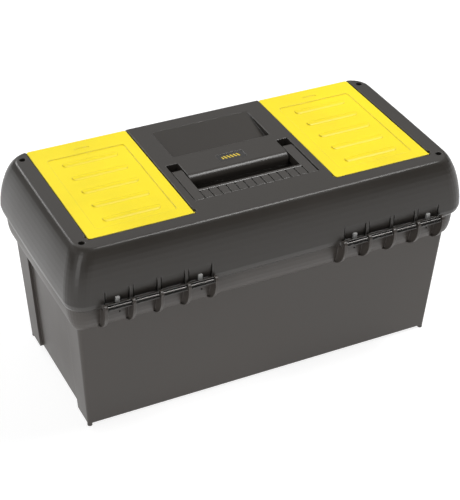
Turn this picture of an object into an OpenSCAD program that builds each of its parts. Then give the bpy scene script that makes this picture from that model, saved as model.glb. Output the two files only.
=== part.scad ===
// Carpenter's toolbox: tapered tub, domed lid with two organiser wells, folding handle and tote tray.
// X runs along the length, -Y is the latch side, +Y the hinge side, +Z up. The origin is the middle
// of the footprint, on the surface that the four stacking pegs stand on.

/* [Tub] */
// Half length of the tub at its bottom
bottom_x = 221; // [219:0.5:223]
// Half width of the tub at its bottom
bottom_y = 94; // [92:0.5:94.5]
// Height of the tub's underside above the feet
bottom_z = 4.2; // [4:0.2:5]
// Half length where the walls start to flare
waist_x = 230; // [229:0.5:232]
// Half width where the walls start to flare
waist_y = 101.6; // [100:0.2:103]
// Height where the walls start to flare
waist_z = 145; // [142:1:148]
// Half length of the tub's rim
rim_x = 239.4; // [239:0.2:240.8]
// Half width of the tub's rim
rim_y = 113.4; // [112.8:0.2:114]
// Height of the parting line between tub and lid
parting_z = 176; // [175:0.5:176]
// Thickness of the tub's walls
tub_wall = 3; // [2.5:0.5:3.5]
// Depth of the sunk panel in each end wall
panel_depth = 4; // [3:0.5:5]
// Half width of the sunk panel in each end wall
panel_y = 62; // [50:1:66]

/* [Lid] */
// Overall height of the closed toolbox
lid_top = 248; // [246:1:250]
// Half length of the lid at its lower edge
lid_rim_x = 240.8; // [240.4:0.2:242]
// Half width of the lid at its lower edge
lid_rim_y = 115.2; // [114.8:0.2:116]
// Half length of the lid at its widest
belly_x = 243.8; // [243:0.2:245]
// Half width of the lid at its widest
belly_y = 120.4; // [119.8:0.2:120.6]
// Height of the widest part of the lid
belly_z = 187; // [185:1:189]
// Half length of the flat deck
deck_x = 225.8; // [225:0.2:226.4]
// Half width of the flat deck
deck_y = 104.4; // [104:0.2:105]
// How full the shoulder between deck and belly is
fullness = 1.66; // [1.5:0.02:1.8]
// How far the long and short sides bow outwards
side_bow = 1.4; // [1:0.2:1.6]
// Radius of the lid's upright corners
corner_r = 21; // [19:1:24]
// Thickness of the lid's walls
lid_wall = 2.8; // [2.4:0.1:3.2]

/* [Organisers] */
// Length of each organiser cover along X
cover_len = 121.4; // [119:0.2:122]
// Distance from the middle of the box to the middle of each cover
cover_mid = 147.5; // [147:0.5:148]
// Front edge of the covers
cover_front = -105.6; // [-106:0.2:-104.6]
// Rear edge of the covers
cover_rear = 86.6; // [86:0.1:86.8]
// Gap beside each cover
side_gap = 1.3; // [1:0.1:1.5]
// Height of the organiser wells' floor
well_floor = 216; // [212:1:222]
// Raised bars on each cover
bar_count = 5; // [3:1:5]

/* [Handle] */
// Half width over the handle's arms
handle_x = 75.4; // [74:0.2:76]
// Width of each arm
arm_w = 12; // [10:0.5:12]
// Rear edge of the grip
grip_rear = 65.5; // [64:0.5:66]
// Depth of the grip
grip_depth = 22; // [20:1:22]
// Grooves across the grip
groove_count = 13; // [9:2:13]

/* [Hinges] */
// Distance from the middle of the box to the middle of each hinge
hinge_mid = 143.5; // [142:0.5:145]
// Spacing of the hinge brackets
bracket_pitch = 32; // [31:0.5:32]
// Brackets in each hinge
bracket_count = 5; // [5:1:5]
// Hinge pin radius
pin_r = 1.6; // [1.5:0.1:1.8]

/* [Latches] */
// Distance from the middle of the box to the middle of each latch
latch_mid = 150; // [140:1:160]
// Width of each latch
latch_w = 30; // [24:1:34]
// Angle that a released latch hangs out from its catch
latch_hang = 4; // [4:0.5:5]

/* [Tote tray] */
// Height of the tray's floor
tray_floor = 102; // [98:1:120]
// Height of the tray's rim
tray_rim = 151.4; // [151.4:0.2:155]

/* [Hidden] */
$fn = 48;
e = 0.01;          // overshoot of a cut past a face
far = 400;         // longer than anything it cuts

black = "#3d3a38";
grey = "#6b6966";
yellow = "#f6e02c";
steel = "#c4c4c2";

// hinge
axis_y = 126;
axis_z = 183;
ring_r = 4.4;
barrel_r = 3.6;
slot_r = 2.4;      // half width of the slot that shows the pin inside a knuckle
slot_turn = 37;    // direction the slot faces, above the horizontal
bracket_w = 3.4;
pocket_top = 203;
run = 0.05;        // radial clearance of a pin in a moving bore

// lid
parting_gap = 0.4;
lid_low = parting_z + parting_gap;
deck_t = 3;
floor_t = 2.5;
pad_y = 111.5;     // inner face of the thick pads behind hinges and latches

// organiser wells
well_x0 = cover_mid - cover_len / 2 - side_gap;
well_x1 = cover_mid + cover_len / 2 + side_gap;
well_front = cover_front + 2.6;
well_rear = cover_rear + 2.3;
ledge = 4;
cover_t = 3;
cover_top = lid_top - 0.8;
cover_low = cover_top - cover_t;
cover_axis_y = 82.5;
cover_axis_z = 243.5;
trunnion_r = 2;
trunnion_len = 2.9;
divider_t = 1.6;
divider_y = [-38, 22];

// handle
pivot_y = 3;
pivot_z = 242.3;
arm_r = 4.9;
handle_top = lid_top - 0.2;
handle_pin_r = 2.5;
arm_gap = 1.4;
pocket_front = -12.2;
pocket_z = 234;
finger_front = 21;
finger_z = 222;

// latches
latch_y = -122;
latch_z = 192;
latch_pin_r = 1.6;
catch_y = -117.8;
catch_z = 153;

// stacking pegs
peg_x = bottom_x - 3;
peg_y = bottom_y - 3;
peg_r = 2.9;

// tray
tray_x = 214;
tray_y = 92;
tray_lip_x = 226.5;
tray_lip_y = 100.2;
tray_wall = 2.2;

// ---------------------------------------------------------------- outlines

function arc(cx, cy, r, a0, a1, n = 8) =
    [for (i = [0:n]) let (a = a0 + (a1 - a0) * i / n) [cx + r * cos(a), cy + r * sin(a)]];

function mirrored(p) = [-p[0], -p[1]];

// half of a rectangle with rounded corners, from the middle of +X round to the middle of -X
function half_outline(x, y, r) = concat(
    [for (t = [0.25, 0.5, 0.75]) [x, t * (y - r)]],
    arc(x - r, y - r, r, 0, 90),
    [for (t = [0.8:-0.2:-0.8]) [t * (x - r), y]],
    arc(r - x, y - r, r, 90, 180),
    [for (t = [0.75, 0.5, 0.25]) [-x, t * (y - r)]]);

// pushes a point outwards by the bow, which fades out at the corners
function bowed(p, x, y, bow) = [
    p[0] + sign(p[0]) * bow * max(0, 1 - pow(p[1] / y, 2)) * pow(p[0] / x, 4),
    p[1] + sign(p[1]) * bow * max(0, 1 - pow(p[0] / x, 2)) * pow(p[1] / y, 4)];

function outline(x, y, r, bow = 0) =
    let (half = [for (p = half_outline(x, y, r)) bowed(p, x, y, bow)])
    concat(half, [[-x - bow, 0]], [for (p = half) mirrored(p)], [[x + bow, 0]]);

module slice(z, x, y, r, bow = 0)
    translate([0, 0, z]) linear_extrude(e) polygon(outline(x, y, r, bow));

module block(x0, x1, y0, y1, z0, z1)
    translate([x0, y0, z0]) cube([x1 - x0, y1 - y0, z1 - z0]);

module rounded_block(x0, x1, y0, y1, z0, z1, r)
    translate([(x0 + x1) / 2, (y0 + y1) / 2, z0]) linear_extrude(z1 - z0)
        polygon(outline((x1 - x0) / 2, (y1 - y0) / 2, r));

// extrudes a shape drawn in Y and Z along X
module along_x(x0, x1) translate([x0, 0, 0]) rotate([90, 0, 90]) linear_extrude(x1 - x0) children();

module rod(x0, x1, y, z, r) translate([x0, y, z]) rotate([0, 90, 0]) cylinder(r = r, h = x1 - x0);

module both_ends() {
    children();
    mirror([1, 0, 0]) children();
}

module both_sides() {
    children();
    mirror([0, 1, 0]) children();
}

module at_pegs() both_ends() both_sides() translate([peg_x, peg_y, 0]) children();

// ---------------------------------------------------------------- tub

function flare(i, n) = [
    waist_z + (parting_z - waist_z) * (1 - cos(90 * i / n)),
    sin(90 * i / n)];

// the tub's lower walls, drawn in by inset on the long sides and end_inset at the ends
module tapered_walls(z0, inset, end_inset, r) hull() {
    slice(z0, bottom_x - end_inset, bottom_y - inset, r - 2);
    slice(waist_z - e, waist_x - end_inset, waist_y - inset, r);
}

module flared_rim(inset, top, r0, r1) hull() {
    for (i = [0:7]) let (f = flare(i, 7))
        slice(i == 7 ? top - e : f[0], waist_x + (rim_x - waist_x) * f[1] - inset,
            waist_y + (rim_y - waist_y) * f[1] - inset, r0 + (r1 - r0) * f[1], (side_bow - 1) * f[1]);
}

module end_panels() both_ends()
    translate([0, panel_y, 0]) rotate([90, 0, 0]) linear_extrude(2 * panel_y)
        polygon([[bottom_x - panel_depth, 0], [bottom_x - panel_depth, bottom_z],
            [waist_x - panel_depth, waist_z - 1], [waist_x + 1, waist_z + 0.2], [waist_x + 1, 0]]);

function bracket_x(k) = hinge_mid + (k - (bracket_count - 1) / 2) * bracket_pitch;

// middles of the outermost bays of both hinges
outer_bays = [for (side = [-1, 1], k = [0.5, bracket_count - 1.5]) side * bracket_x(k)];

// side view of one hinge bracket: a quarter-round web under the ring that holds the pin
module bracket_outline(inset = 0) {
    root_y = waist_y - 1;
    web_r = 32;
    difference() {
        intersection() {
            translate([axis_y + ring_r - web_r, axis_z - 4]) circle(r = web_r - inset);
            polygon([[root_y, waist_z - 2], [root_y, parting_z - 0.3], [belly_y + 2.8, parting_z - 0.3],
                [belly_y + 2.8, axis_z], [axis_y + 2 * ring_r, axis_z], [axis_y + 2 * ring_r, waist_z - 2]]);
        }
        if (inset > 0) translate([axis_y, axis_z]) circle(r = ring_r + 0.6);
    }
}

module bracket(x) {
    web = 0.8;
    difference() {
        union() {
            along_x(x - bracket_w / 2, x + bracket_w / 2) bracket_outline();
            rod(x - bracket_w / 2, x + bracket_w / 2, axis_y, axis_z, ring_r);
        }
        along_x(x - bracket_w, x - web / 2) bracket_outline(1.2);
        along_x(x + web / 2, x + bracket_w) bracket_outline(1.2);
        rod(x - bracket_w, x + bracket_w, axis_y, axis_z, pin_r);
    }
}

module catch_boss() {
    half = latch_w / 2 + 4;
    along_x(latch_mid - half, latch_mid + half)
        polygon([[-waist_y + 1, catch_z], [catch_y, catch_z], [catch_y, catch_z + 16], [-rim_y + 2, parting_z - 2],
            [-waist_y + 1, parting_z - 2]]);
}

eye_y = -124;
eye_r = 4;
eye_t = 3;
module eye_tab(z, root) difference() {
    union() {
        block(-12, 12, eye_y, root, z, z + eye_t);
        translate([0, eye_y, z]) cylinder(r = axis_y + ring_r + eye_y, h = eye_t);
    }
    translate([0, eye_y, z - 1]) cylinder(r = eye_r, h = 6);
}

module base_tub() color(black) {
    difference() {
        union() {
            tapered_walls(bottom_z, 0, 0, 5);
            flared_rim(0, parting_z, 5, corner_r - 1);
            both_ends() for (k = [0:bracket_count - 1]) bracket(bracket_x(k));
            both_ends() catch_boss();
            eye_tab(parting_z - 4.5, -rim_y + 1.5);
            at_pegs() cylinder(r = peg_r, h = bottom_z + 1);
        }
        tapered_walls(bottom_z + tub_wall, tub_wall, tub_wall + panel_depth, 5);
        rounded_block(tub_wall + panel_depth - waist_x, waist_x - tub_wall - panel_depth, tub_wall - waist_y,
            waist_y - tub_wall, waist_z - 1, parting_z, 5);
        difference() {
            translate([0, 0, tub_wall]) flared_rim(tub_wall, parting_z, 5, corner_r - tub_wall);
            block(-far, far, -far, far, 0, waist_z);
        }
        end_panels();
        for (x = outer_bays)
            translate([x - 5.5, rim_y + 3, parting_z - 11]) rotate([90, 0, 0]) cylinder(r = 1.1, h = 6);
        both_ends() for (s = [-1, 1])
            translate([latch_mid + s * 9, catch_y + 6, catch_z + 8]) rotate([90, 0, 0]) cylinder(r = 1.5, h = 12);
    }
}

module hinge_pin() color(steel)
    rod(bracket_x(0) - bracket_w / 2, bracket_x(bracket_count - 1) + bracket_w / 2, axis_y, axis_z, pin_r);

module hinge_pin_left() hinge_pin();
module hinge_pin_right() mirror([1, 0, 0]) hinge_pin();

plate_t = 1.2;
module catch_plate() color(steel) difference() {
    union() {
        block(latch_mid - latch_w / 2, latch_mid + latch_w / 2, catch_y - plate_t, catch_y, catch_z - plate_t,
            catch_z + 14);
        block(latch_mid - latch_w / 2, latch_mid + latch_w / 2, catch_y - plate_t, catch_y + 6, catch_z - plate_t,
            catch_z);
    }
    for (s = [-1, 1])
        translate([latch_mid + s * 9, catch_y + 1, catch_z + 8]) rotate([90, 0, 0]) cylinder(r = 1.5, h = 4);
}

module catch_plate_left() catch_plate();
module catch_plate_right() mirror([1, 0, 0]) catch_plate();

module catch_rivets() color(steel) for (s = [-1, 1])
    translate([latch_mid + s * 9, 0, catch_z + 8]) {
        translate([0, catch_y + 6, 0]) rotate([90, 0, 0]) cylinder(r = 1.5, h = 6 + plate_t);
        translate([0, catch_y - plate_t, 0]) rotate([90, 0, 0]) cylinder(r = 2.8, h = 0.6);
    }

module catch_rivets_left() catch_rivets();
module catch_rivets_right() mirror([1, 0, 0]) catch_rivets();

// ---------------------------------------------------------------- lid

function shoulder(u) = pow(1 - pow(u, fullness), 1 / fullness);

// the lid's dome, drawn in by inset, with its deck lowered by sink and its lower edge at low
module dome(inset, sink, low) {
    steps = 11;
    hull() {
        slice(low, lid_rim_x - inset, lid_rim_y - inset, corner_r - inset, side_bow);
        slice(lid_low + 5, (belly_x + lid_rim_x) / 2 + 0.4 - inset, (belly_y + lid_rim_y) / 2 + 1.2 - inset,
            corner_r - inset, side_bow);
        for (i = [0:steps]) let (u = sin(90 * i / steps), s = shoulder(min(u, 1)))
            slice(belly_z + (lid_top - sink - belly_z) * u - (i == steps ? e : 0),
                deck_x + (belly_x - deck_x) * s - inset, deck_y + (belly_y - deck_y) * s - inset,
                corner_r - inset, side_bow * (0.4 + 0.6 * s));
    }
}

module hinge_pads() both_ends()
    block(bracket_x(0) - 6, bracket_x(bracket_count - 1) + 6, pad_y, 118, 0, pocket_top + 3);

module latch_pads() both_ends()
    block(latch_mid - latch_w / 2 - 8, latch_mid + latch_w / 2 + 8, -118, -pad_y - 1.5, 0, pocket_top + 6);

module well_block() both_ends() {
    collar = 4.4;
    block(well_x0 + ledge - floor_t, well_x1 - ledge + floor_t, well_front, well_rear + floor_t,
        well_floor - floor_t, lid_top);
    block(well_x0 - collar, well_x1 + collar, well_front - collar, well_rear + floor_t, cover_low - 3, lid_top);
    block(well_x0 - collar, well_x1 + collar, cover_axis_y - 8, well_rear + floor_t, cover_axis_z - 9, lid_top);
}

// the part of the deck's structure above the plane where the organisers and the handle pocket join it
join_z = 234.5;
module upper() intersection() {
    children();
    block(-far, far, -far, far, join_z, lid_top);
}

module lower() intersection() {
    children();
    block(-far, far, -far, far, 0, join_z);
}

module handle_block() difference() {
    block(-handle_x - arm_gap - floor_t, handle_x + arm_gap + floor_t, pocket_front - floor_t,
        grip_rear + 0.8 + floor_t, finger_z - floor_t, lid_top);
    block(arm_w - handle_x + 4, handle_x - arm_w - 4, pocket_front - far, finger_front - 3.5, 0, lid_top - deck_t);
    both_ends()
        block(handle_x - arm_w - arm_gap - 2, far, pocket_front - far, finger_front - floor_t, 0, pocket_z - floor_t);
}

dish_x = 61.5;
dish_front = -87;
dish_rear = -26;
dish_deep = 9;
module dish_block() block(-dish_x - floor_t, dish_x + floor_t, dish_front - floor_t, dish_rear + floor_t,
    lid_top - dish_deep - floor_t, lid_top);

// sloping recess in the deck, deepest towards the handle
module dish_cut() intersection() {
    rounded_block(-dish_x, dish_x, dish_front, dish_rear, lid_top - dish_deep - 1, lid_top + 1, 3.5);
    along_x(-dish_x - 1, dish_x + 1)
        polygon([[dish_front, lid_top - 0.1], [dish_rear, lid_top - dish_deep], [dish_rear, lid_top + 1],
            [dish_front, lid_top + 1]]);
}

module well_cut() both_ends() {
    rounded_block(well_x0 + ledge, well_x1 - ledge, well_front + ledge, well_rear, well_floor, lid_top + 1, 4);
    rounded_block(well_x0, well_x1, -belly_y - 20, well_rear, cover_low - 0.3, lid_top + 1, 2.5);
    block(well_x0, well_x1, cover_axis_y - 5, well_rear, cover_axis_z - 6.5, lid_top + 1);
    for (x = [well_x0 - 1.9, well_x1 - 1]) {
        rod(x, x + trunnion_len, cover_axis_y, cover_axis_z, trunnion_r + run);
        block(x, x + trunnion_len, cover_axis_y - trunnion_r - run, cover_axis_y + trunnion_r + run,
            cover_axis_z, lid_top + 1);
    }
    for (y = divider_y) block(well_x0 + ledge - 1, well_x1 - ledge + 1, y - divider_t / 2 - 0.1,
        y + divider_t / 2 + 0.1, well_floor, cover_low - 3);
}

module handle_pocket_cut() {
    both_ends() {
        rounded_block(handle_x - arm_w - arm_gap, handle_x + arm_gap, pocket_front, grip_rear + 0.8, pocket_z,
            lid_top + 1, 1);
        rod(handle_x - arm_w - 4, handle_x + 3.5, pivot_y, pivot_z, handle_pin_r);
    }
    rounded_block(-handle_x - arm_gap, handle_x + arm_gap, grip_rear - grip_depth - 1, grip_rear + 0.8, pocket_z,
        lid_top + 1, 1);
    along_x(arm_w - handle_x, handle_x - arm_w)
        polygon(concat(arc(finger_front - 8, lid_top - 8, 8, 90, 0), arc(finger_front + 5, finger_z + 5, 5, 180, 270),
            [[grip_rear + 0.8, finger_z], [grip_rear + 0.8, lid_top + 1], [finger_front - 8, lid_top + 1]]));
}

badge_x = 16.5;
badge_y0 = -9.8;
badge_y1 = 5;
module badge_cut() rounded_block(-badge_x, badge_x, badge_y0, badge_y1, lid_top - 1, lid_top + 1, 1.5);

// blind sockets in the deck that take the pegs of a box stacked on top
socket_r = peg_r + 0.8;
module socket_cut() at_pegs() translate([0, 0, lid_top - bottom_z - 0.4]) cylinder(r = socket_r, h = 10);
module socket_pads() at_pegs()
    translate([0, 0, lid_top - bottom_z - 0.4 - floor_t]) cylinder(r = socket_r + floor_t, h = 10);

// side view of a pocket sunk into the rear of the dome, from its floor at y outwards
module pocket_outline(y) polygon([[belly_y + 0.2, pocket_top], [belly_y + 20, pocket_top], [belly_y + 20, 0],
    [pad_y + 2, 0], [y - 2, parting_z], [y, parting_z + 8]]);

// shallow pockets over the bays of the hinges, each with a narrow slot down both of its sides
module bay_cut() both_ends() for (k = [0:bracket_count - 2]) {
    x0 = bracket_x(k) + bracket_w / 2;
    x1 = bracket_x(k + 1) - bracket_w / 2;
    along_x(x0 + 0.8, x1 - 0.8) pocket_outline(pad_y + 7.6);
    for (x = [x0, x1 - 1.4]) along_x(x, x + 1.4) pocket_outline(pad_y + 3.6);
}

module knuckle(k) difference() {
    x0 = bracket_x(k) + bracket_w / 2 + 0.8;
    x1 = bracket_x(k + 1) - bracket_w / 2 - 0.8;
    union() {
        rod(x0, x1, axis_y, axis_z, barrel_r);
        block(x0, x1, pad_y + 1, axis_y, axis_z - 2.4, axis_z + 1);
    }
    rod(x0 - 1, x1 + 1, axis_y, axis_z, pin_r + run);
    translate([0, axis_y, axis_z]) rotate([slot_turn, 0, 0]) block(x0 - 1, x1 + 1, 0, 9, -slot_r, slot_r);
}

module clip_space() for (x = outer_bays)
    block(x - 2.2, x + 2.2, pad_y + 1.5, axis_y - barrel_r - 0.4, axis_z + 1, axis_z + 8);

module latch_cut() both_ends()
    block(latch_mid - latch_w / 2 - 0.5, latch_mid + latch_w / 2 + 0.5, -far, latch_y + 3.5, lid_low - 1, 204);

module latch_ears() both_ends() for (x = [latch_mid - latch_w / 2 - 4.5, latch_mid + latch_w / 2 + 0.5])
    along_x(x, x + 4) {
        translate([latch_y, latch_z]) circle(r = 5);
        translate([latch_y, latch_z - 8]) square([9, 13]);
    }

module lid_shell() color(black) difference() {
    union() {
        difference() {
            dome(0, 0, lid_low);
            difference() {
                dome(lid_wall, deck_t, lid_low - 1);
                hinge_pads();
                latch_pads();
                upper() well_block();
                upper() handle_block();
                dish_block();
                socket_pads();
            }
            bay_cut();
            latch_cut();
        }
        both_ends() for (k = [0:bracket_count - 2]) knuckle(k);
        latch_ears();
        eye_tab(lid_low + 0.4, -lid_rim_y);
    }
    well_cut();
    handle_pocket_cut();
    dish_cut();
    badge_cut();
    socket_cut();
    clip_space();
    both_ends() rod(latch_mid - latch_w, latch_mid + latch_w, latch_y, latch_z, latch_pin_r);
}

module organiser() color(black) lower() difference() {
    block(well_x0 + ledge - floor_t, well_x1 - ledge + floor_t, well_front, well_rear + floor_t,
        well_floor - floor_t, lid_top);
    well_cut();
}

module organiser_left() organiser();
module organiser_right() mirror([1, 0, 0]) organiser();

module handle_pocket() color(black) lower() difference() {
    handle_block();
    handle_pocket_cut();
}

module hinge_clips(x0) color(grey) intersection() {
    clip_space();
    block(x0, x0 + far, 0, far, 0, far);
}

module hinge_clips_left() hinge_clips(0);
module hinge_clips_right() hinge_clips(-far);

module badge_plate() color(grey)
    rounded_block(-badge_x + 0.2, badge_x - 0.2, badge_y0 + 0.2, badge_y1 - 0.2, lid_top - 1, lid_top - 0.3, 1.3);

module dividers() color(grey) for (y = divider_y)
    block(well_x0 + ledge - 0.8, well_x1 - ledge + 0.8, y - divider_t / 2, y + divider_t / 2, well_floor,
        cover_low - 6);

module dividers_left() dividers();
module dividers_right() mirror([1, 0, 0]) dividers();

// ---------------------------------------------------------------- organiser covers

panel_x0 = cover_mid - 47.2;
panel_x1 = cover_mid + 46.5;
panel_front = -78.5;
panel_rear = 72.2;
bar_len = 66;
bar_half = 4.5;
bar_rise = 1.5;
bar_r = (bar_half * bar_half + bar_rise * bar_rise) / (2 * bar_rise);
// raised bar with a rounded top, standing in the sunk panel of a cover
module bar(y) intersection() {
    rounded_block(cover_mid - bar_len / 2, cover_mid + bar_len / 2, y - bar_half, y + bar_half, cover_top - 1.2,
        cover_top + 1, bar_half - 0.3);
    rod(cover_mid - bar_len, cover_mid + bar_len, y, cover_top + 0.6 - bar_r, bar_r);
}

module cover() color(yellow) {
    x0 = cover_mid - cover_len / 2;
    x1 = cover_mid + cover_len / 2;
    difference() {
        union() {
            rounded_block(x0, x1, cover_front, cover_rear, cover_low, cover_top, 3);
            for (x = [x0, x1 - 4]) rod(x, x + 4, cover_axis_y, cover_axis_z, 3.1);
            rod(x0 - trunnion_len, x0 + 2, cover_axis_y, cover_axis_z, trunnion_r);
            rod(x1 - 2, x1 + trunnion_len, cover_axis_y, cover_axis_z, trunnion_r);
        }
        rounded_block(panel_x0, panel_x1, panel_front, panel_rear, cover_top - 0.9, cover_top + 1, 4);
        rounded_block(cover_mid - 9, cover_mid + 9, cover_front + 15.2, cover_front + 19.2, cover_top - 0.6,
            cover_top + 1, 1.5);
        block(x0 - 1, x1 + 1, cover_rear - 1, cover_rear + 3, cover_low - 4, cover_low);
    }
    for (i = [0:bar_count - 1]) bar(-2.5 + (i - (bar_count - 1) / 2) * 30);
}

module cover_left() cover();
module cover_right() mirror([1, 0, 0]) cover();

// ---------------------------------------------------------------- handle

module arm(x0) along_x(x0, x0 + arm_w) {
    translate([pivot_y, pivot_z]) circle(r = arm_r);
    translate([pivot_y, pivot_z - arm_r])
        square([grip_rear - grip_depth / 2 - pivot_y, grip_top - pivot_z + arm_r]);
}

grip_top = handle_top - 0.6;
bead_r = 3.4;      // radius of the bead along the grip's front edge
module grip() {
    low = pocket_z + 1;
    front = grip_rear - grip_depth;
    along_x(-handle_x, handle_x)
        polygon(concat(arc(grip_rear - 3, low + 3, 3, -90, 0, 5), arc(grip_rear - 1.2, grip_top - 1.2, 1.2, 0, 90, 4),
            arc(front + 2, grip_top - 2, 2, 90, 180, 5), arc(front + 4, low + 4, 4, 180, 270, 5)));
    rod(arm_w - handle_x - e, handle_x - arm_w + e, front + bead_r, handle_top - bead_r, bead_r);
}

module handle() color(black) {
    pitch = (2 * (handle_x - arm_w)) / (groove_count - 1);
    difference() {
        union() {
            arm(handle_x - arm_w);
            arm(-handle_x);
            grip();
        }
        for (i = [0:groove_count - 1])
            translate([(i - (groove_count - 1) / 2) * pitch - 0.75, grip_rear - grip_depth + 5.4, grip_top - 1.4])
                cube([1.5, grip_depth, 3]);
        both_ends() rod(handle_x - arm_w - 1, handle_x + 1, pivot_y, pivot_z, handle_pin_r + run);
    }
}

module handle_pin() color(steel) rod(handle_x - arm_w - 4, handle_x + 3.5, pivot_y, pivot_z, handle_pin_r);

module handle_pin_left() handle_pin();
module handle_pin_right() mirror([1, 0, 0]) handle_pin();

// ---------------------------------------------------------------- latches

sheet = 1.6;
// side view of a latch in its closed place
module latch_outline() {
    front = latch_y - 3;
    translate([latch_y, latch_z]) circle(r = 3);
    translate([front, catch_z - 12]) square([sheet, latch_z - catch_z + 12]);
    translate([front, catch_z - plate_t - 0.4 - sheet]) square([7.6, sheet]);
    translate([front - 1.2, catch_z - 13]) square([2.8, 3]);
}

module latch() color(steel)
    translate([0, latch_y, latch_z]) rotate([-latch_hang, 0, 0]) translate([0, -latch_y, -latch_z])
        difference() {
            along_x(latch_mid - latch_w / 2, latch_mid + latch_w / 2) latch_outline();
            rod(latch_mid - latch_w, latch_mid + latch_w, latch_y, latch_z, latch_pin_r + run);
        }

module latch_left() latch();
module latch_right() mirror([1, 0, 0]) latch();

module latch_pin() color(steel)
    rod(latch_mid - latch_w / 2 - 4.5, latch_mid + latch_w / 2 + 4.5, latch_y, latch_z, latch_pin_r);

module latch_pin_left() latch_pin();
module latch_pin_right() mirror([1, 0, 0]) latch_pin();

// ---------------------------------------------------------------- tote tray

wall_t = 3;        // thickness of the tray's middle wall, which carries its handle
module tote_tray() color(grey) difference() {
    union() {
        rounded_block(-tray_x, tray_x, -tray_y, tray_y, tray_floor - tray_wall, tray_rim, 8);
        rounded_block(-tray_lip_x, tray_lip_x, -tray_lip_y, tray_lip_y, tray_rim - 2.4, tray_rim, 8);
    }
    rounded_block(tray_wall - tray_x, tray_x - tray_wall, tray_wall - tray_y, tray_y - tray_wall, tray_floor,
        tray_rim + 1, 6);
}

grip_x = 62;
grip_z = tray_rim + 22;
module tray_handle() color(yellow) {
    difference() {
        union() {
            block(tray_wall - tray_x, tray_x - tray_wall, -wall_t / 2, wall_t / 2, tray_floor, tray_rim - 1);
            block(-grip_x, grip_x, -wall_t / 2, wall_t / 2, tray_floor, grip_z - 4);
            along_x(-grip_x, grip_x)
                polygon(concat(arc(3, grip_z - 4, 4, -90, 90, 6), arc(-3, grip_z - 4, 4, 90, 270, 6)));
        }
        block(8 - grip_x, grip_x - 8, -far, far, tray_rim - 3, grip_z - 8.5);
    }
}

// cross plates of the tray, two on each side of its middle wall
module tray_dividers() color(grey) both_ends() both_sides()
    block(tray_x / 3, tray_x / 3 + divider_t, wall_t / 2, tray_y - tray_wall, tray_floor, tray_rim - 4);

base_tub();
hinge_pin_left();
hinge_pin_right();
catch_plate_left();
catch_plate_right();
catch_rivets_left();
catch_rivets_right();
lid_shell();
hinge_clips_left();
hinge_clips_right();
badge_plate();
organiser_left();
organiser_right();
handle_pocket();
handle_pin_left();
handle_pin_right();
dividers_left();
dividers_right();
latch_pin_left();
latch_pin_right();
handle();
cover_left();
cover_right();
latch_left();
latch_right();
tote_tray();
tray_handle();
tray_dividers();
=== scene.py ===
import math

import bpy
from mathutils import Matrix, Vector

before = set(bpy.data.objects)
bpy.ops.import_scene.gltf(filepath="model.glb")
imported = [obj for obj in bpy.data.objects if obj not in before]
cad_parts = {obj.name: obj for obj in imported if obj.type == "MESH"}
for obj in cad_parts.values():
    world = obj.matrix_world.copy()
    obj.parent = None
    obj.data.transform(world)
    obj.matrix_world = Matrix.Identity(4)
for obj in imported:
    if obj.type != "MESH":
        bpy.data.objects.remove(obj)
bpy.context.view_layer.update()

# scales of the noises, per metre
FINE_GRAIN = 2600
COARSE_GRAIN = 1300
SPECK_SCALE = 1400
EDGE_PATCH_SCALE = 160
DRIFT_SCALE = 9

# noise values lie round 0.5, and the part between these two is spread over the full range
NOISE_LOW, NOISE_HIGH = 0.3, 0.7

# cosine between the rounded and the true normal where the pale edge starts, and where it is
# full; the pale edge is partly rubbed wear and partly a painted highlight
EDGE_START, EDGE_FULL = 0.985, 0.86
EDGE_STRENGTH = 0.8

# colours
BLACK = (0.035, 0.031, 0.027)
# pale edge colours: partly rubbed wear, partly a painted highlight along the edges
WORN_AND_HIGHLIT_LID = (0.16, 0.155, 0.15)
WORN_AND_HIGHLIT_BLACK = (0.19, 0.18, 0.17)
BADGE_DARK = (0.018, 0.017, 0.016)
BADGE_YELLOW = (0.80, 0.58, 0.03)
FLOOR_DIM = (0.34, 0.34, 0.34)
FLOOR_BRIGHT = (0.36, 0.36, 0.36)
FLOOR_GLOW = 0.84
FLOOR_HALF = 30

# the badge's band of slanting bars, in metres
BAND_SHIFT = 0.0024
BAND_HALF_LENGTH = 0.0115
BAND_HALF_HEIGHT = 0.0030
BAND_SOFT = 0.0004
BARS_PER_METRE = 250
BAR_SLANT = 90
BAR_START, BAR_FULL = 0.50, 0.56

# camera: places in metres, sensor and lens in millimetres
TARGET = Vector((-0.00198, -0.00414, 0.1164))
BACK = Vector((0.36835, 0.73622, 0.56770)).normalized()
DISTANCE = 1.7941
ROLL = math.radians(1.13)
SENSOR = 36.0
LENS = 109.03104

# the lights point at this spot in the middle of the box
AIM = Vector((0, 0, 0.12))


# ------------------------------------------------------------------ materials
def new_tree(name):
    mat = bpy.data.materials.new(name)
    mat.use_nodes = True
    tree = mat.node_tree
    tree.nodes.clear()
    return mat, tree


def add(tree, kind, **values):
    node = tree.nodes.new(kind)
    for key, value in values.items():
        setattr(node, key, value)
    return node


def finish(tree, shader):
    """Joins the shader to the material's output."""
    out = add(tree, "ShaderNodeOutputMaterial")
    tree.links.new(shader.outputs["BSDF"], out.inputs["Surface"])


def noise(tree, coord, scale, detail):
    n = add(tree, "ShaderNodeTexNoise")
    n.inputs["Scale"].default_value = scale
    n.inputs["Detail"].default_value = detail
    tree.links.new(coord, n.inputs["Vector"])
    return n.outputs["Fac"]


def ramp(tree, value, low, high, out_low, out_high):
    """Takes value from low..high to out_low..out_high, and stops at both ends."""
    m = add(tree, "ShaderNodeMapRange", clamp=True)
    limits = {"From Min": low, "From Max": high, "To Min": out_low, "To Max": out_high}
    for key, number in limits.items():
        m.inputs[key].default_value = number
    tree.links.new(value, m.inputs["Value"])
    return m.outputs["Result"]


def spread(tree, value, out_low=0.0, out_high=1.0):
    """Spreads a noise over out_low..out_high."""
    return ramp(tree, value, NOISE_LOW, NOISE_HIGH, out_low, out_high)


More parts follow.
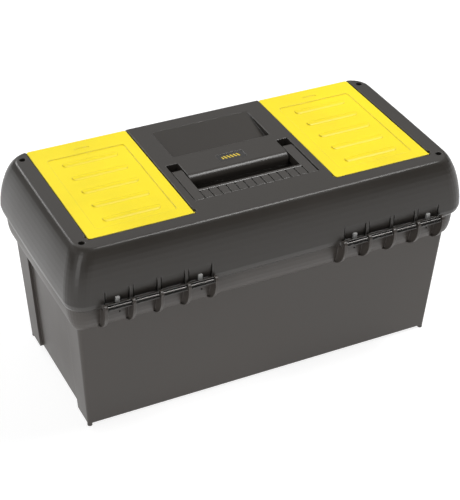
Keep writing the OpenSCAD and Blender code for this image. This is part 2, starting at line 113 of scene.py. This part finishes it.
def mix(tree, factor, a, b):
    m = add(tree, "ShaderNodeMix", data_type="RGBA")
    tree.links.new(factor, m.inputs[0])
    for socket, colour in ((m.inputs[6], a), (m.inputs[7], b)):
        if isinstance(colour, tuple):
            socket.default_value = (*colour, 1.0)
        else:
            tree.links.new(colour, socket)
    return m.outputs[2]


def math_node(tree, operation, a, b=None):
    m = add(tree, "ShaderNodeMath", operation=operation)
    for socket, value in ((m.inputs[0], a), (m.inputs[1], b)):
        if value is None:
            continue
        if isinstance(value, (int, float)):
            socket.default_value = value
        else:
            tree.links.new(value, socket)
    return m.outputs[0]


def rounded(tree, radius):
    """The surface's normal, with the edges rounded off."""
    bevel = add(tree, "ShaderNodeBevel", samples=6)
    bevel.inputs["Radius"].default_value = radius
    return bevel.outputs["Normal"]


def bumped(tree, height, normal, strength, depth):
    bump = add(tree, "ShaderNodeBump")
    bump.inputs["Strength"].default_value = strength
    bump.inputs["Distance"].default_value = depth
    tree.links.new(height, bump.inputs["Height"])
    tree.links.new(normal, bump.inputs["Normal"])
    return bump.outputs["Normal"]


def plastic(name, base, worn_and_highlight, roughness, edge_radius,
            grain=FINE_GRAIN, grain_depth=0.00002, speckle=0.12, shine=0.5):
    """Moulded plastic: fine grain, slow drift of colour and gloss, and pale edges that are
    partly rubbed wear and partly a painted highlight.
    """
    mat, tree = new_tree(name)
    coord = add(tree, "ShaderNodeTexCoord").outputs["Object"]
    geometry = add(tree, "ShaderNodeNewGeometry")
    normal = rounded(tree, edge_radius)

    # pale edge colour where the rounded normal leaves the true one: partly rubbed wear, partly a
    # painted highlight along the edges
    dot = add(tree, "ShaderNodeVectorMath", operation="DOT_PRODUCT")
    tree.links.new(normal, dot.inputs[0])
    tree.links.new(geometry.outputs["Normal"], dot.inputs[1])
    edge = ramp(tree, dot.outputs["Value"], EDGE_START, EDGE_FULL, 0.0, EDGE_STRENGTH)
    patchy = ramp(tree, noise(tree, coord, EDGE_PATCH_SCALE, 3), 0.35, 0.65, 0.35, 1.0)
    edge = math_node(tree, "MULTIPLY", edge, patchy)

    drift = noise(tree, coord, DRIFT_SCALE, 3)
    darker = tuple(c * 0.93 for c in base)
    lighter = tuple(c * 1.07 for c in base)
    speck_tone = tuple(min(1.0, c * (1 + speckle)) for c in base)
    tone = mix(tree, spread(tree, drift), darker, lighter)
    speck = ramp(tree, noise(tree, coord, SPECK_SCALE, 1), 0.55, 0.75, 0.0, 0.5)
    tone = mix(tree, speck, tone, speck_tone)

    shader = add(tree, "ShaderNodeBsdfPrincipled")
    shader.inputs["Specular IOR Level"].default_value = shine
    gloss = spread(tree, drift, roughness - 0.04, roughness + 0.05)
    relief = bumped(tree, noise(tree, coord, grain, 2), normal, 0.35, grain_depth)
    tree.links.new(mix(tree, edge, tone, worn_and_highlight), shader.inputs["Base Color"])
    tree.links.new(gloss, shader.inputs["Roughness"])
    tree.links.new(relief, shader.inputs["Normal"])
    finish(tree, shader)
    return mat


def steel(name, base, roughness):
    """Bright rolled steel, with fine lines along X."""
    mat, tree = new_tree(name)
    coord = add(tree, "ShaderNodeTexCoord").outputs["Object"]
    stretch = add(tree, "ShaderNodeMapping")
    stretch.inputs["Scale"].default_value = (40, 1500, 1500)
    tree.links.new(coord, stretch.inputs["Vector"])
    lines = noise(tree, stretch.outputs["Vector"], 1.0, 3)
    darker = tuple(c * 0.88 for c in base)

    shader = add(tree, "ShaderNodeBsdfPrincipled")
    shader.inputs["Metallic"].default_value = 1.0
    tone = mix(tree, spread(tree, noise(tree, coord, 60, 3)), darker, base)
    gloss = spread(tree, lines, roughness - 0.06, roughness + 0.08)
    relief = bumped(tree, lines, rounded(tree, 0.0004), 0.3, 0.00001)
    tree.links.new(tone, shader.inputs["Base Color"])
    tree.links.new(gloss, shader.inputs["Roughness"])
    tree.links.new(relief, shader.inputs["Normal"])
    finish(tree, shader)
    return mat


def badge(name):
    """A dark plate with a plain band of slanting yellow bars."""
    mat, tree = new_tree(name)
    coord = add(tree, "ShaderNodeTexCoord").outputs["Object"]
    parts = add(tree, "ShaderNodeSeparateXYZ")
    tree.links.new(coord, parts.inputs["Vector"])
    x = parts.outputs["X"]
    y = math_node(tree, "ADD", parts.outputs["Y"], BAND_SHIFT)
    along = math_node(tree, "MULTIPLY", x, BARS_PER_METRE)
    across = math_node(tree, "MULTIPLY", y, BAR_SLANT)
    slant = math_node(tree, "ADD", along, across)
    bars = ramp(tree, math_node(tree, "FRACT", slant), BAR_START, BAR_FULL, 0.0, 1.0)
    for value, limit in ((x, BAND_HALF_LENGTH), (y, BAND_HALF_HEIGHT)):
        distance = math_node(tree, "ABSOLUTE", value)
        inside = ramp(tree, distance, limit, limit - BAND_SOFT, 0.0, 1.0)
        bars = math_node(tree, "MULTIPLY", bars, inside)

    shader = add(tree, "ShaderNodeBsdfPrincipled")
    gloss = spread(tree, noise(tree, coord, 200, 2), 0.26, 0.36)
    tree.links.new(mix(tree, bars, BADGE_DARK, BADGE_YELLOW), shader.inputs["Base Color"])
    tree.links.new(gloss, shader.inputs["Roughness"])
    finish(tree, shader)
    return mat


# the second colour of each plastic is its pale edge: rubbed wear and a painted highlight
black = plastic("black_plastic", BLACK, WORN_AND_HIGHLIT_LID, 0.34, 0.0019, shine=0.42)
grained = plastic("grained_plastic", (0.034, 0.030, 0.026), WORN_AND_HIGHLIT_BLACK, 0.30, 0.0004,
                  grain=COARSE_GRAIN, grain_depth=0.00012, speckle=2.0)
inner = plastic("inner_plastic", BLACK, (0.045, 0.041, 0.037), 0.40, 0.0003, shine=0.4)
black_tub = plastic("black_plastic_tub", (0.052, 0.044, 0.038), WORN_AND_HIGHLIT_BLACK, 0.42, 0.0008)
grey = plastic("grey_plastic", (0.30, 0.30, 0.29), (0.45, 0.45, 0.44), 0.5, 0.0005)
pale = plastic("pale_plastic", (0.41, 0.41, 0.40), (0.55, 0.55, 0.54), 0.5, 0.0005)
yellow = plastic("yellow_plastic", (0.96, 0.77, 0.010), (0.99, 0.88, 0.20), 0.42, 0.0010,
                 shine=0.35)
zinc = steel("zinc_steel", (0.66, 0.66, 0.63), 0.32)
dark_steel = steel("dark_steel", (0.16, 0.155, 0.15), 0.38)
plate = badge("badge")

# every other node is bright steel
USES = {
    "base_tub": black_tub,
    "lid_shell": black,
    "organiser_left": inner,
    "organiser_right": inner,
    "handle_pocket": inner,
    "handle": grained,
    "cover_left": yellow,
    "cover_right": yellow,
    "tray_handle": yellow,
    "tote_tray": grey,
    "tray_dividers": grey,
    "dividers_left": grey,
    "dividers_right": grey,
    "badge_plate": plate,
    "hinge_clips_left": pale,
    "hinge_clips_right": pale,
    "hinge_pin_left": dark_steel,
    "hinge_pin_right": dark_steel,
}
for name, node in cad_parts.items():
    node.data.materials.clear()
    node.data.materials.append(USES.get(name, zinc))


# ------------------------------------------------------------------ stage
def floor():
    half = FLOOR_HALF
    corners = [(-half, -half, 0), (half, -half, 0), (half, half, 0), (-half, half, 0)]
    mesh = bpy.data.meshes.new("floor")
    mesh.from_pydata(corners, [], [(0, 1, 2, 3)])
    obj = bpy.data.objects.new("floor", mesh)
    bpy.context.scene.collection.objects.link(obj)

    mat, tree = new_tree("floor")
    coord = add(tree, "ShaderNodeTexCoord").outputs["Object"]
    shader = add(tree, "ShaderNodeBsdfPrincipled")
    shader.inputs["Roughness"].default_value = 0.7
    shader.inputs["Specular IOR Level"].default_value = 0.2
    shader.inputs["Emission Color"].default_value = (1, 1, 1, 1)
    shader.inputs["Emission Strength"].default_value = FLOOR_GLOW
    tone = mix(tree, spread(tree, noise(tree, coord, 3, 2)), FLOOR_DIM, FLOOR_BRIGHT)
    tree.links.new(tone, shader.inputs["Base Color"])
    finish(tree, shader)
    mesh.materials.append(mat)


def area(name, direction, distance, size, power):
    """A rectangular light that stands in the given direction and points at AIM."""
    light = bpy.data.lights.new(name, "AREA")
    light.shape = "RECTANGLE"
    light.size, light.size_y = size
    light.energy = power
    place = Vector(direction).normalized() * distance
    obj = bpy.data.objects.new(name, light)
    obj.location = place
    obj.rotation_mode = "QUATERNION"
    obj.rotation_quaternion = (AIM - place).to_track_quat("-Z", "Y")
    bpy.context.scene.collection.objects.link(obj)


def studio_world(dim, bright):
    """A dim room with a brighter band above the horizon, on the latch side."""
    world = bpy.data.worlds.new("studio")
    bpy.context.scene.world = world
    world.use_nodes = True
    tree = world.node_tree
    coord = add(tree, "ShaderNodeTexCoord").outputs["Generated"]
    parts = add(tree, "ShaderNodeSeparateXYZ")
    tree.links.new(coord, parts.inputs["Vector"])
    rise = ramp(tree, parts.outputs["Z"], 0.20, 0.55, 0.0, 1.0)
    fall = ramp(tree, parts.outputs["Z"], 0.57, 0.80, 1.0, 0.2)
    away = ramp(tree, parts.outputs["Y"], -0.5, 0.35, 1.0, 0.0)
    band = math_node(tree, "MULTIPLY", math_node(tree, "MULTIPLY", rise, fall), away)
    glow = math_node(tree, "MULTIPLY", band, bright - dim)
    background = tree.nodes["Background"]
    background.inputs["Color"].default_value = (1, 1, 1, 1)
    tree.links.new(math_node(tree, "ADD", glow, dim), background.inputs["Strength"])


def add_camera():
    camera = bpy.data.objects.new("camera", bpy.data.cameras.new("camera"))
    bpy.context.scene.collection.objects.link(camera)
    bpy.context.scene.camera = camera
    right = (-BACK).cross(Vector((0, 0, 1))).normalized()
    up = right.cross(-BACK)
    rolled_right = right * math.cos(ROLL) + up * math.sin(ROLL)
    rolled_up = up * math.cos(ROLL) - right * math.sin(ROLL)
    turn = Matrix((rolled_right, rolled_up, BACK)).transposed()
    camera.rotation_mode = "QUATERNION"
    camera.rotation_quaternion = turn.to_quaternion()
    camera.location = TARGET + BACK * DISTANCE
    camera.data.sensor_fit = "AUTO"
    camera.data.sensor_width = SENSOR
    camera.data.lens = LENS
    camera.data.clip_start, camera.data.clip_end = 0.05, 100


floor()
area("top", (-0.37, 0.12, 0.92), 3.0, (0.8, 0.8), 57)
area("far", (0.16, -0.80, 0.60), 3.2, (0.9, 0.8), 20)
area("key", (0.80, 0.47, 0.36), 3.2, (0.5, 3.0), 30)
studio_world(0.04, 0.98)
add_camera()
bpy.context.scene.view_settings.view_transform = "Standard"
